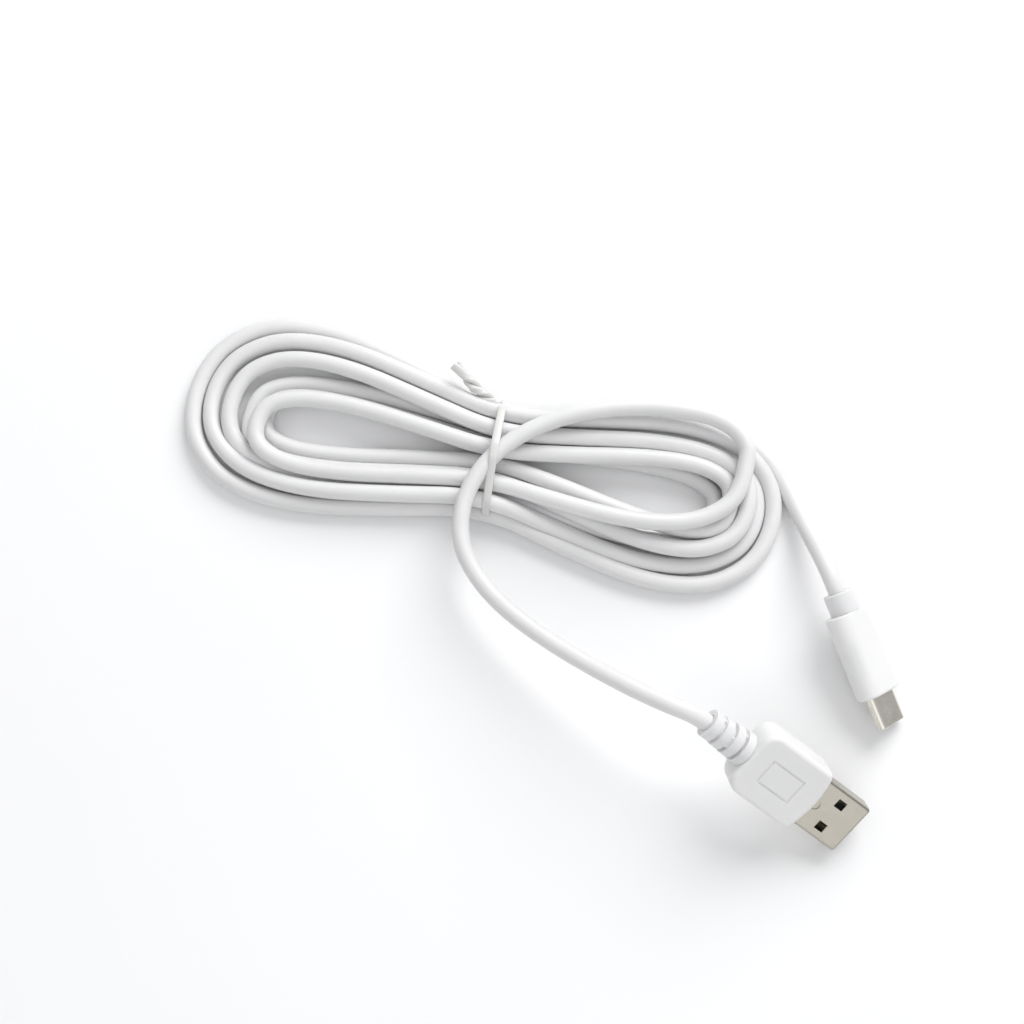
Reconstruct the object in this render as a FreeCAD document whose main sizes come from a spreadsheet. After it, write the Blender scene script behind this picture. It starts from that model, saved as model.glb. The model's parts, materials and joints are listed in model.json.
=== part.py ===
import FreeCAD, Part
import math
import os

Vector = FreeCAD.Vector
doc = FreeCAD.newDocument("ChargingCable")

# Driving dimensions: alias, value (mm or degrees), what it is.
# Each plug is drawn along its own X axis, nose forward, with X = 0 at the front face of its grip.
DIMENSIONS = [
    ("cordDiameter", 3.8, "round jacket of the cord"),
    ("boreDiameter", 3.86, "hole for the cord in the moulded pieces"),
    ("shellWidth", 12.0, "USB-A shell, standard"),
    ("shellHeight", 4.5, "USB-A shell, standard"),
    ("shellWall", 0.3, "USB-A sheet steel"),
    ("shellExposed", 11.75, "USB-A shell in front of the grip, standard"),
    ("shellBuried", 6.5, "USB-A shell inside the grip"),
    ("shellCorner", 0.6, "outer corner of the folded shell"),
    ("shellNose", 0.7, "plan corners at the mouth of the shell"),
    ("windowLength", 2.2, "square window, along the plug"),
    ("windowWidth", 2.0, "square window, across the plug"),
    ("windowSetback", 5.16, "window behind the nose"),
    ("windowPitch", 6.2, "between the two windows"),
    ("notchWidth", 2.2, "lock notch by the grip"),
    ("notchLength", 1.5, "lock notch by the grip"),
    ("tongueWidth", 11.3, "USB-A insulator"),
    ("tongueThickness", 1.88, "USB-A insulator under the contacts"),
    ("tongueRecess", 0.85, "insulator behind the shell mouth"),
    ("tongueBlock", 7.2, "full-height block at the back of the insulator"),
    ("contactWidth", 1.0, "USB-A contact strip"),
    ("contactThickness", 0.25, "USB-A contact strip"),
    ("contactTail", 2.2, "strip behind the insulator, for the solder"),
    ("canWidth", 10.4, "USB-A rear can"),
    ("canHeight", 6.0, "USB-A rear can"),
    ("canLength", 6.9, "USB-A rear can"),
    ("canWall", 0.25, "both rear cans"),
    ("barrelLength", 3.5, "crimp barrel behind each can"),
    ("barrelDiameter", 4.5, "crimp barrel, outside"),
    ("gripWidth", 15.4, "USB-A grip"),
    ("gripHeight", 8.0, "USB-A grip"),
    ("gripLength", 18.0, "USB-A grip"),
    ("gripRearCorner", 3.4, "plan corner at the cord end"),
    ("gripFrontCorner", 1.4, "plan corner at the shell end"),
    ("gripEdge", 1.1, "rounding along the flat faces"),
    ("reliefLength", 10.3, "ringed strain relief"),
    ("reliefSlot", 0.8, "gap between its rings"),
    ("ovalWidth", 8.25, "USB-C shell, standard"),
    ("ovalHeight", 2.4, "USB-C shell, standard"),
    ("ovalWall", 0.2, "USB-C drawn steel"),
    ("ovalExposed", 6.9, "USB-C shell in front of the grip"),
    ("ovalBuried", 5.0, "USB-C shell inside the grip"),
    ("housingWidth", 7.76, "USB-C insulator"),
    ("housingHeight", 1.92, "USB-C insulator"),
    ("housingLength", 11.0, "USB-C insulator"),
    ("slotWidth", 6.4, "mating slot"),
    ("slotHeight", 1.3, "mating slot"),
    ("beamWidth", 0.26, "USB-C contact beam"),
    ("beamThickness", 0.12, "USB-C contact beam"),
    ("beamLength", 9.6, "USB-C contact beam"),
    ("latchLength", 8.9, "side latch arm"),
    ("latchThickness", 0.25, "side latch arm"),
    ("latchHeight", 0.8, "side latch arm"),
    ("boardThickness", 0.8, "paddle board"),
    ("boardTongueWidth", 5.9, "board inside the slot"),
    ("boardWidth", 8.0, "board behind the shell"),
    ("ovalCanWidth", 9.0, "USB-C rear can"),
    ("ovalCanHeight", 4.4, "USB-C rear can"),
    ("ovalCanLength", 7.4, "USB-C rear can"),
    ("ovalGripWidth", 11.3, "USB-C grip"),
    ("ovalGripHeight", 6.4, "USB-C grip"),
    ("ovalGripLength", 18.7, "USB-C grip"),
    ("ovalGripEdge", 0.6, "rounding at the front of the oval grip"),
    ("collarDiameter", 6.5, "collar behind the oval grip"),
    ("collarLength", 4.6, "collar behind the oval grip"),
    ("leadDiameter", 0.9, "insulated lead"),
    ("hankTilt", -14.0, "hank axis from the X axis"),
    ("hankX", -8.9, "tie, on the hank axis"),
    ("hankY", 27.0, "tie, on the hank axis"),
    ("leftHeight", 7.8, "two layers of cord"),
    ("rightHeight", 11.1, "three layers of cord"),
    ("waistHeight", 12.0, "top of the strands under the tie"),
    ("waistTop", 12.6, "far side of the strands under the tie"),
    ("waistBottom", -14.6, "near side of the strands under the tie"),
    ("tieTurn", 5.0, "tie, turned from square across the hank"),
    ("tieWidth", 2.0, "twist tie strip"),
    ("tieThickness", 0.8, "twist tie strip"),
    ("tieWireDiameter", 0.45, "steel core of the tie"),
    ("tieTailLength", 13.0, "twisted ends of the tie"),
    ("tieTailDiameter", 2.4, "twisted ends of the tie"),
]

# Where each plug lies: X, Y, Z of the grip's front face, then heading, nose-down pitch and roll.
USB_A_POSE = (56.9, -48.1, 8.45, -33.0, 22.0, 24.0)
USB_C_POSE = (73.8, -26.1, 4.5, -68.0, 10.0, -34.0)

# Routes of the two free tails, from inside each plug's strain relief to the hank.
USB_A_TAIL = [
    (38.6, -36.2, 17.25),
    (33.2, -32.7, 19.85),
    (27.0, -30.3, 20.2),
    (21.0, -27.4, 18.9),
    (13.5, -23.1, 16.5),
    (4.7, -17.5, 14.0),
    (-3.3, -11.6, 12.0),
    (-9.3, -6.0, 10.9),
    (-13.3, -0.7, 10.3),
    (-15.9, 4.7, 10.1),
    (-16.5, 10.3, 10.1),
    (-15.5, 15.9, 10.1),
]
USB_C_TAIL = [
    (66.5, -8.1, 7.9),
    (64.2, -2.4, 9.0),
    (62.4, 3.3, 7.5),
    (60.5, 9.0, 4.9),
    (58.6, 14.6, 2.9),
    (56.4, 20.2, 2.0),
    (53.3, 25.9, 1.9),
    (50.8, 28.6, 1.9),
]

sheet = doc.addObject("Spreadsheet::Sheet", "Dims")
for row, (alias, value, note) in enumerate(DIMENSIONS, 1):
    sheet.set(f"A{row}", note)
    sheet.set(f"B{row}", str(value))
    sheet.setAlias(f"B{row}", alias)
doc.recompute()

nodes = []


def dim(alias):
    return float(sheet.get(alias))


def bind(obj, **formulas):
    """Tie properties to formulas over the sheet's aliases."""
    for prop, formula in formulas.items():
        obj.setExpression(prop, formula)


def finished(obj, label, place=None):
    """Name a sub-part, lay it in its plug's place and keep it for export."""
    obj.Label = label
    if place is not None:
        obj.Placement = place.multiply(obj.Placement)
    nodes.append(obj)
    return obj


def pose(numbers):
    x, y, z, heading, pitch, roll = numbers
    return FreeCAD.Placement(Vector(x, y, z), FreeCAD.Rotation(heading, pitch, roll))


# --- Part primitives ---------------------------------------------------------------------------


def box(length, width, height, low_x, mid_y, low_z):
    """A box from low_x forward, centred on mid_y, from low_z up. Sizes are formulas."""
    obj = doc.addObject("Part::Box", "Block")
    bind(obj, Length=length, Width=width, Height=height)
    doc.recompute([obj])
    obj.Placement.Base = Vector(low_x, mid_y - obj.Width.Value / 2, low_z)
    return obj


def rod(diameter, length, low_x, mid_y=0.0, mid_z=0.0, angle=360.0):
    """A cylinder along X. An angle of 180 leaves the upper half."""
    obj = doc.addObject("Part::Cylinder", "Rod")
    bind(obj, Radius=f"({diameter}) / 2", Height=length)
    obj.Angle = angle
    turn = FreeCAD.Rotation(Vector(0, 1, 0), 90).multiply(FreeCAD.Rotation(Vector(0, 0, 1), 90))
    obj.Placement = FreeCAD.Placement(Vector(low_x, mid_y, mid_z), turn)
    return obj


def fuse(*objs):
    obj = doc.addObject("Part::MultiFuse", "Fusion")
    obj.Shapes = list(objs)
    return obj


def cut(base, *tools):
    obj = doc.addObject("Part::Cut", "Cut")
    obj.Base = base
    obj.Tool = tools[0] if len(tools) == 1 else fuse(*tools)
    return obj


def group(*objs):
    obj = doc.addObject("Part::Compound", "Group")
    obj.Links = list(objs)
    return obj


# --- PartDesign helpers ------------------------------------------------------------------------


def new_body(label):
    body = doc.addObject("PartDesign::Body", "Body")
    body.Label = label
    return body


def new_sketch(body, role, offset=0.0, across=0.0, up=0.0):
    """A sketch on one of the body's own planes, moved along that plane's normal and within it."""
    sketch = body.newObject("Sketcher::SketchObject", "Sketch")
    plane = [f for f in body.Origin.OriginFeatures if f.Role == role][0]
    sketch.AttachmentSupport = [(plane, "")]
    sketch.MapMode = "FlatFace"
    sketch.AttachmentOffset = FreeCAD.Placement(Vector(across, up, offset), FreeCAD.Rotation())
    return sketch


def name_last(sketch, name, formula):
    index = sketch.ConstraintCount - 1
    sketch.renameConstraint(index, name)
    sketch.setExpression(f"Constraints.{name}", formula)


def draw_rectangle(sketch, width, height, corner=None):
    """A rectangle about the sketch origin, its sides held by named constraints."""
    import Sketcher

    doc.recompute()
    first = sketch.GeometryCount
    tag = f"r{first}"
    half = 1.0
    corners = [Vector(-half, -half, 0), Vector(half, -half, 0), Vector(half, half, 0), Vector(-half, half, 0)]
    for i in range(4):
        sketch.addGeometry(Part.LineSegment(corners[i], corners[(i + 1) % 4]))
    for i in range(4):
        sketch.addConstraint(Sketcher.Constraint("Coincident", first + i, 2, first + (i + 1) % 4, 1))
    for i in (0, 2):
        sketch.addConstraint(Sketcher.Constraint("Horizontal", first + i))
        sketch.addConstraint(Sketcher.Constraint("Vertical", first + i + 1))
    sketch.addConstraint(Sketcher.Constraint("Symmetric", first, 1, first + 2, 1, -1, 1))
    sketch.addConstraint(Sketcher.Constraint("DistanceX", first, 1, first, 2, 2 * half))
    name_last(sketch, tag + "width", width)
    sketch.addConstraint(Sketcher.Constraint("DistanceY", first + 1, 1, first + 1, 2, 2 * half))
    name_last(sketch, tag + "height", height)


def draw_stadium(sketch, width, height):
    """An oval of two straight sides and two round ends about the sketch origin, sizes in mm."""
    radius = height / 2
    reach = width / 2 - radius
    for side in (1, -1):
        arc = Part.Circle(Vector(side * reach, 0, 0), Vector(0, 0, 1), radius)
        start = -math.pi / 2 if side > 0 else math.pi / 2
        sketch.addGeometry(Part.ArcOfCircle(arc, start, start + math.pi))
        sketch.addGeometry(Part.LineSegment(Vector(side * reach, side * radius, 0), Vector(-side * reach, side * radius, 0)))


def draw_circle(sketch, diameter):
    import Sketcher

    doc.recompute()
    first = sketch.GeometryCount
    sketch.addGeometry(Part.Circle(Vector(0, 0, 0), Vector(0, 0, 1), 1.0))
    sketch.addConstraint(Sketcher.Constraint("Coincident", first, 3, -1, 1))
    sketch.addConstraint(Sketcher.Constraint("Diameter", first, 2.0))
    name_last(sketch, f"c{first}diameter", diameter)


def pad(body, sketch, length):
    feature = body.newObject("PartDesign::Pad", "Pad")
    feature.Profile = sketch
    bind(feature, Length=length)
    doc.recompute()
    return feature


def pocket(body, sketch, length=None, forward=True):
    """Cut along the sketch's normal, or against it, or right through when no length is given."""
    before = body.Shape.Volume
    feature = body.newObject("PartDesign::Pocket", "Pocket")
    feature.Profile = sketch
    if length is None:
        feature.Type = "ThroughAll"
        feature.SideType = "Symmetric"
    else:
        bind(feature, Length=length)
        feature.Reversed = forward
    doc.recompute()
    if body.Shape.Volume > before - 1e-6:
        raise ValueError(f"a pocket in {body.Label} cuts nothing")
    return feature


def edges_of(feature, wanted):
    """Names of the edges whose middle point and direction pass the test."""
    names = []
    for i, edge in enumerate(feature.Shape.Edges, 1):
        middle = edge.valueAt((edge.FirstParameter + edge.LastParameter) / 2)
        along = edge.tangentAt(edge.FirstParameter)
        if wanted(middle, along):
            names.append(f"Edge{i}")
    return names


def round_edges(body, feature, wanted, radius):
    rounding = body.newObject("PartDesign::Fillet", "Round")
    rounding.Base = (feature, edges_of(feature, wanted))
    bind(rounding, Radius=radius)
    doc.recompute()
    return rounding


# --- tubes along a route -----------------------------------------------------------------------


def rounded_path(points):
    """Straight runs joined by tangent arcs, each as large as its two runs allow."""
    points = [Vector(*p) for p in points]
    edges = []
    radii = []
    start = points[0]
    for before, corner, after in zip(points, points[1:], points[2:]):
        back = (before - corner).normalize()
        ahead = (after - corner).normalize()
        half_turn = (math.pi - back.getAngle(ahead)) / 2
        trim = 0.45 * min((before - corner).Length, (after - corner).Length)
        radius = trim / math.tan(half_turn)
        arc_start = corner + back * trim
        arc_end = corner + ahead * trim
        toward_centre = (back + ahead).normalize()
        arc_middle = corner + toward_centre * (radius / math.cos(half_turn) - radius)
        edges.append(Part.LineSegment(start, arc_start).toShape())
        edges.append(Part.Arc(arc_start, arc_middle, arc_end).toShape())
        radii.append(radius)
        start = arc_end
    edges.append(Part.LineSegment(start, points[-1]).toShape())
    return Part.Wire(edges), radii


def tube(label, points, diameter):
    path, radii = rounded_path(points)
    first, second = Vector(*points[0]), Vector(*points[1])
    section = Part.Wire(Part.Circle(first, second - first, diameter / 2).toShape())
    shape = path.makePipeShell([section], True, True)
    expected = math.pi * diameter**2 / 4 * path.Length
    if abs(shape.Volume - expected) > 0.02 * expected:
        raise ValueError(f"{label} has volume {shape.Volume:.2f}, expected {expected:.2f}")
    obj = doc.addObject("Part::Feature", "Tube")
    obj.Label = label
    obj.Shape = shape
    print(f"{label}: {path.Length:.1f} mm, arcs from {min(radii):.1f} to {max(radii):.1f} mm")
    return obj


# --- USB-A plug --------------------------------------------------------------------------------


def usb_a_shell(place):
    body = new_body("usb_a_shell")
    outline = new_sketch(body, "YZ_Plane", -dim("shellBuried"))
    draw_rectangle(outline, "Dims.shellWidth", "Dims.shellHeight")
    sleeve = pad(body, outline, "Dims.shellExposed + Dims.shellBuried")
    nose = dim("shellExposed")
    step = round_edges(body, sleeve, lambda m, t: abs(t.z) > 0.9 and m.x > nose - 1e-3, "Dims.shellNose")
    round_edges(body, step, lambda m, t: abs(t.x) > 0.9, "Dims.shellCorner")
    inside = new_sketch(body, "YZ_Plane", -dim("shellBuried"))
    draw_rectangle(inside, "Dims.shellWidth - 2 * Dims.shellWall", "Dims.shellHeight - 2 * Dims.shellWall")
    pocket(body, inside)
    windows = new_sketch(body, "XY_Plane")
    window_x = dim("shellExposed") - dim("windowSetback")
    for side in (-1, 1):
        y = side * dim("windowPitch") / 2
        corners = [
            Vector(window_x, y - dim("windowWidth") / 2, 0),
            Vector(window_x, y + dim("windowWidth") / 2, 0),
            Vector(window_x - dim("windowLength"), y + dim("windowWidth") / 2, 0),
            Vector(window_x - dim("windowLength"), y - dim("windowWidth") / 2, 0),
        ]
        for i in range(4):
            windows.addGeometry(Part.LineSegment(corners[i], corners[(i + 1) % 4]))
    pocket(body, windows)
    notch = new_sketch(body, "XY_Plane", dim("shellHeight") / 2 - 0.2)
    half = dim("notchWidth") / 2
    back = 0.7
    front = back + dim("notchLength") - half
    notch.addGeometry(Part.LineSegment(Vector(back, half, 0), Vector(back, -half, 0)))
    notch.addGeometry(Part.LineSegment(Vector(back, -half, 0), Vector(front, -half, 0)))
    arc = Part.ArcOfCircle(Part.Circle(Vector(front, 0, 0), Vector(0, 0, 1), half), -math.pi / 2, math.pi / 2)
    notch.addGeometry(arc)
    notch.addGeometry(Part.LineSegment(Vector(front, half, 0), Vector(back, half, 0)))
    pocket(body, notch, "1.0", forward=True)
    return finished(body, "usb_a_shell", place)


def strip_top():
    return 0.05


def contact_strips(label, offsets, reach, place):
    """Flat strips in the insulator's grooves, with bare tails behind it."""
    tail_x = dim("shellExposed") - dim("tongueRecess") - 17.05 - dim("contactTail")
    low_z = strip_top() - dim("contactThickness")
    strips = [
        box(f"{reach - tail_x}", "Dims.contactWidth", "Dims.contactThickness", tail_x, y, low_z)
        for y in offsets
    ]
    return finished(group(*strips), label, place)


def usb_a_tongue(place):
    nose = dim("shellExposed") - dim("tongueRecess")
    back = nose - 17.05
    flat = box("17.05", "Dims.tongueWidth", "Dims.tongueThickness", back, 0, -1.93)
    block = box("Dims.tongueBlock", "Dims.tongueWidth", "3.86", back, 0, -1.93)
    grooves = []
    for y, reach in ((3.5, 9.9), (-3.5, 9.9), (1.0, 8.9), (-1.0, 8.9)):
        low_z = strip_top() - dim("contactThickness")
        grooves.append(box(f"{reach - back + 1}", "Dims.contactWidth", "Dims.contactThickness", back - 1, y, low_z))
    return finished(cut(fuse(flat, block), *grooves), "usb_a_tongue", place)


def rear_can(label, width, height, length, front_x, place):
    """A folded steel can with a crimp barrel, open at the front for the contacts."""
    back_x = front_x - dim(length)
    outer = box(f"Dims.{length}", f"Dims.{width}", f"Dims.{height}", back_x, 0, -dim(height) / 2)
    inner = box(
        f"Dims.{length} - Dims.canWall",
        f"Dims.{width} - 2 * Dims.canWall",
        f"Dims.{height} - 2 * Dims.canWall",
        back_x + dim("canWall"), 0, dim("canWall") - dim(height) / 2,
    )
    barrel_x = back_x - dim("barrelLength")
    barrel = rod("Dims.barrelDiameter", "Dims.barrelLength + 0.1", barrel_x)
    bore = rod("Dims.boreDiameter", "Dims.barrelLength + 1", barrel_x - 0.2)
    can = cut(fuse(outer, barrel), inner, bore)
    return finished(can, label, place)


def lead(label, start, end, place, barrel_front=-12.9):
    """One insulated lead, straight out of the crimp barrel and then over to its joint in two easy bends."""
    points = [
        start,
        (barrel_front, start[1], start[2]),
        (0.3 * barrel_front + 0.7 * end[0], end[1], end[2]),
        end,
    ]
    return finished(tube(label, points, dim("leadDiameter")), label, place)


def solder_domes(label, spots, place):
    """Half-round fillets of solder, each in front of its lead: x, y, z and which side is up."""
    domes = []
    for x, y, z, upward in spots:
        dome = rod("Dims.leadDiameter", "0.9", x, y, z, 180.0)
        if upward < 0:
            turn = FreeCAD.Rotation(Vector(1, 0, 0), 180)
            dome.Placement = FreeCAD.Placement(dome.Placement.Base, turn.multiply(dome.Placement.Rotation))
        domes.append(dome)
    return finished(group(*domes), label, place)


def inner_mould(label, length, width, height, low_x, place, kept):
    """The first shot of plastic, which fills the can around what is soldered inside it."""
    block = box(length, width, height, low_x, 0, 0)
    block.Placement.Base.z = -block.Height.Value / 2
    doc.recompute()
    block.Placement.Base = Vector(low_x, -block.Width.Value / 2, -block.Height.Value / 2)
    block.Placement = place.multiply(block.Placement)
    return finished(cut(block, *kept), label)


def usb_a_grip(place):
    body = new_body("usb_a_overmould")
    outline = new_sketch(body, "YZ_Plane", -dim("gripLength"))
    draw_rectangle(outline, "Dims.gripWidth", "Dims.gripHeight")
    block = pad(body, outline, "Dims.gripLength")
    rear = -dim("gripLength")
    step = round_edges(body, block, lambda m, t: abs(t.z) > 0.9 and m.x < rear + 1, "Dims.gripRearCorner")
    step = round_edges(body, step, lambda m, t: abs(t.z) > 0.9 and m.x > -0.1, "Dims.gripFrontCorner")
    flat = dim("gripHeight") / 2
    round_edges(body, step, lambda m, t: abs(abs(m.z) - flat) < 1e-3, "Dims.gripEdge")
    for draw, sizes, start, depth in (
        (draw_rectangle, ("Dims.shellWidth + 0.02", "Dims.shellHeight + 0.02"), 0.0, "Dims.shellBuried"),
        (draw_rectangle, ("Dims.canWidth", "Dims.canHeight"), -dim("shellBuried"), "Dims.canLength"),
        (draw_circle, ("Dims.barrelDiameter",), -dim("shellBuried") - dim("canLength"), "Dims.barrelLength"),
        (draw_circle, ("Dims.boreDiameter",), -dim("shellBuried") - dim("canLength"), "Dims.gripLength"),
    ):
        hollow = new_sketch(body, "YZ_Plane", start)
        draw(hollow, *sizes)
        pocket(body, hollow, depth, forward=False)
    pad_mark = new_sketch(body, "XY_Plane", flat - 0.25)
    for grow in (0.0, 0.5):
        half_x, half_y = 4.4 - grow, 3.0 - grow
        corners = [Vector(sx * half_x - 9.2, sy * half_y, 0) for sx, sy in ((-1, -1), (1, -1), (1, 1), (-1, 1))]
        for i in range(4):
            pad_mark.addGeometry(Part.LineSegment(corners[i], corners[(i + 1) % 4]))
    pocket(body, pad_mark, "0.5", forward=True)
    return finished(body, "usb_a_overmould", place)


def usb_a_strain_relief(place):
    """Rings that grow towards the grip, joined by webs that alternate between two directions."""
    front = -dim("gripLength")
    length = dim("reliefLength")
    rings = 4
    slot = dim("reliefSlot")
    ring = (length - (rings - 1) * slot) / rings
    pieces = [rod("5.0", f"{length}", front - length)]
    for i in range(rings):
        low_x = front - length + i * (ring + slot)
        pieces.append(rod(f"{6.3 + 0.4 * i}", f"{ring}", low_x))
        if i < rings - 1:
            across, tall = ("2.6", "5.8") if i % 2 else ("5.8", "2.6")
            high = float(tall)
            pieces.append(box(f"{slot}", across, tall, low_x + ring, 0, -high / 2))
    bore = rod("Dims.boreDiameter", f"{length + 1}", front - length - 0.5)
    return finished(cut(fuse(*pieces), bore), "usb_a_strain_relief", place)


def braid_end(label, back_x, front_x, place):
    """The cord's braid folded back over the jacket, under the crimp barrel."""
    return finished(rod("Dims.cordDiameter", f"{front_x - back_x}", back_x), label, place)


def build_usb_a():
    place = pose(USB_A_POSE)
    usb_a_shell(place)
    usb_a_tongue(place)
    power = contact_strips("usb_a_power_contacts", (3.5, -3.5), 9.9, place)
    data = contact_strips("usb_a_data_contacts", (1.0, -1.0), 8.9, place)
    can_front = -dim("shellBuried")
    rear_can("usb_a_rear_can", "canWidth", "canHeight", "canLength", can_front, place)
    start_x, joint_x = -14.6, -8.6
    seat = strip_top() + dim("leadDiameter") / 2 + 0.05
    leads = [
        lead("usb_a_lead_red", (start_x, 0.75, 0.75), (joint_x, 3.5, seat), place),
        lead("usb_a_lead_green", (start_x, 0.75, -0.75), (joint_x, 1.0, seat), place),
        lead("usb_a_lead_white", (start_x, -0.75, -0.75), (joint_x, -1.0, seat), place),
        lead("usb_a_lead_black", (start_x, -0.75, 0.75), (joint_x, -3.5, seat), place),
    ]
    spots = [(joint_x, y, strip_top(), 1) for y in (3.5, 1.0, -1.0, -3.5)]
    solder = solder_domes("usb_a_solder_joints", spots, place)
    kept = [power, data, solder] + leads
    inner_mould("usb_a_inner_mould", "6.3", "Dims.canWidth - 0.6", "Dims.canHeight - 0.6", -13.1, place, kept)
    usb_a_grip(place)
    usb_a_strain_relief(place)
    braid_end("usb_a_braid_foldback", -23.5, start_x, place)


# --- USB-C plug --------------------------------------------------------------------------------


def usb_c_shell(place):
    body = new_body("usb_c_shell")
    outline = new_sketch(body, "YZ_Plane", -dim("ovalBuried"))
    draw_stadium(outline, dim("ovalWidth"), dim("ovalHeight"))
    sleeve = pad(body, outline, "Dims.ovalExposed + Dims.ovalBuried")
    nose = dim("ovalExposed")
    round_edges(body, sleeve, lambda m, t: m.x > nose - 1e-3, "0.12")
    inside = new_sketch(body, "YZ_Plane", -dim("ovalBuried"))
    wall = 2 * dim("ovalWall")
    draw_stadium(inside, dim("ovalWidth") - wall, dim("ovalHeight") - wall)
    pocket(body, inside)
    return finished(body, "usb_c_shell", place)


def usb_c_housing(place):
    body = new_body("usb_c_housing")
    back = -dim("ovalBuried") + 0.1
    outline = new_sketch(body, "YZ_Plane", back)
    draw_stadium(outline, dim("housingWidth"), dim("housingHeight"))
    pad(body, outline, "Dims.housingLength")
    slot = new_sketch(body, "YZ_Plane", back)
    draw_rectangle(slot, "Dims.slotWidth", "Dims.slotHeight")
    pocket(body, slot)
    sides = new_sketch(body, "YZ_Plane", back + 0.9)
    draw_rectangle(sides, "Dims.housingWidth + 1", "Dims.latchHeight + 0.2")
    pocket(body, sides, "Dims.housingLength", forward=True)
    for level in (0.82, -0.82):
        recess = new_sketch(body, "XY_Plane", level)
        corners = [Vector(x, y, 0) for x, y in ((2.2, -2.6), (5.6, -2.6), (5.6, 2.6), (2.2, 2.6))]
        for i in range(4):
            recess.addGeometry(Part.LineSegment(corners[i], corners[(i + 1) % 4]))
        pocket(body, recess, "1.0", forward=level > 0)
    return finished(body, "usb_c_housing", place)


def contact_beams(label, offsets, upward, place):
    """Spring beams on one side of the slot, soldered to the board at the back."""
    seat = dim("boardThickness") / 2
    low_z = seat if upward else -seat - dim("beamThickness")
    beams = [box("Dims.beamLength", "Dims.beamWidth", "Dims.beamThickness", -4.6, y, low_z) for y in offsets]
    return finished(group(*beams), label, place)


def side_latch(label, side, place):
    """A spring arm beside the slot, with a hook that holds the socket's tongue."""
    inner = 3.3
    low_z = -dim("latchHeight") / 2
    arm_y = side * (inner + dim("latchThickness") / 2)
    hook_y = side * (inner - 0.15)
    arm = box("Dims.latchLength", "Dims.latchThickness", "Dims.latchHeight", -3.9, arm_y, low_z)
    hook = box("1.1", "0.4", "Dims.latchHeight", 3.7, hook_y, low_z)
    return finished(fuse(arm, hook), label, place)


def emi_springs(place):
    """Grounding plates on both faces of the housing, each with two bent fingers."""
    pieces = []
    for side in (-1, 1):
        low_z = 0.83 if side > 0 else -0.93
        plate = box("3.2", "5.0", "0.1", 2.3, 0, low_z)
        slits = [box("2.4", "0.3", "0.4", 2.9, y, low_z - 0.1) for y in (-1.9, -0.7, 0.7, 1.9)]
        pieces.append(cut(plate, *slits))
    return finished(group(*pieces), "usb_c_emi_springs", place)


def paddle_board(place):
    low_z = -dim("boardThickness") / 2
    tongue = box("4.0", "Dims.boardTongueWidth", "Dims.boardThickness", -5.6, 0, low_z)
    wide = box("5.6", "Dims.boardWidth", "Dims.boardThickness", -11.0, 0, low_z)
    return finished(fuse(tongue, wide), "usb_c_paddle_board", place)


def usb_c_grip(place):
    body = new_body("usb_c_overmould")
    rear = -dim("ovalGripLength")
    outline = new_sketch(body, "YZ_Plane", rear)
    draw_stadium(outline, dim("ovalGripWidth"), dim("ovalGripHeight"))
    block = pad(body, outline, "Dims.ovalGripLength")
    step = round_edges(body, block, lambda m, t: m.x > -1e-3, "Dims.ovalGripEdge")
    round_edges(body, step, lambda m, t: m.x < rear + 1e-3, "0.25")
    can_back = -dim("ovalBuried") - dim("ovalCanLength") - 0.02
    for draw, sizes, start, depth in (
        (draw_stadium, (dim("ovalWidth") + 0.02, dim("ovalHeight") + 0.02), 0.0, "Dims.ovalBuried + 0.02"),
        (draw_rectangle, ("Dims.ovalCanWidth", "Dims.ovalCanHeight"), -dim("ovalBuried") - 0.02, "Dims.ovalCanLength"),
        (draw_circle, ("Dims.barrelDiameter",), can_back, "Dims.barrelLength"),
        (draw_circle, ("Dims.boreDiameter",), can_back, "Dims.ovalGripLength"),
    ):
        hollow = new_sketch(body, "YZ_Plane", start)
        draw(hollow, *sizes)
        pocket(body, hollow, depth, forward=False)
    return finished(body, "usb_c_overmould", place)


def usb_c_collar(place):
    body = new_body("usb_c_collar")
    rear = -dim("ovalGripLength") - dim("collarLength")
    outline = new_sketch(body, "YZ_Plane", rear)
    draw_circle(outline, "Dims.collarDiameter")
    block = pad(body, outline, "Dims.collarLength")
    round_edges(body, block, lambda m, t: m.x < rear + 1e-3, "0.2")
    bore = new_sketch(body, "YZ_Plane", rear)
    draw_circle(bore, "Dims.boreDiameter")
    pocket(body, bore)
    return finished(body, "usb_c_collar", place)


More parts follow.
